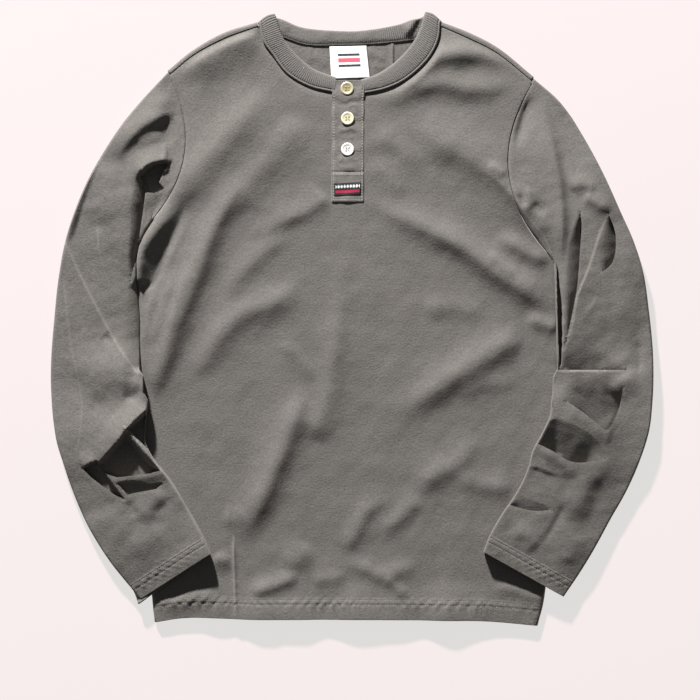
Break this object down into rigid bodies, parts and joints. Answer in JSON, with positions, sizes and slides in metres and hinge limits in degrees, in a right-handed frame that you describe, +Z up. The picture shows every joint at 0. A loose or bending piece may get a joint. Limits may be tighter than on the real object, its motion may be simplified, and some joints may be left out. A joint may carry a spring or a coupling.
{
  "type": "henley shirt",
  "caption": "Long-sleeved henley shirt laid flat, with a ribbed neckband, a buttoned placket and turned hem and cuffs.",
  "frame": {"origin": "middle of the shirt's box on the surface that it lies on", "axes": "+Z up from the surface, +Y to the collar, +X to the wearer's left"},
  "size_m": [0.6734, 0.6867, 0.0227],
  "materials": {
    "jersey": "matte knitted cotton",
    "rib": "matte ribbed cotton",
    "brass_button": "satin",
    "pale_button": "gloss",
    "label_white": "woven label",
    "label_black": "woven label"
  },
  "bodies": {
    "root": {"back_panel": "jersey", "front_panel": "jersey", "sleeve_right": "jersey", "sleeve_left": "jersey", "neckband": "rib", "placket_outer": "jersey", "placket_inner": "jersey", "button_top": "brass_button", "button_middle": "brass_button", "button_bottom": "pale_button", "neck_label": "label_white", "placket_label": "label_black"}
  },
  "joints": []
}
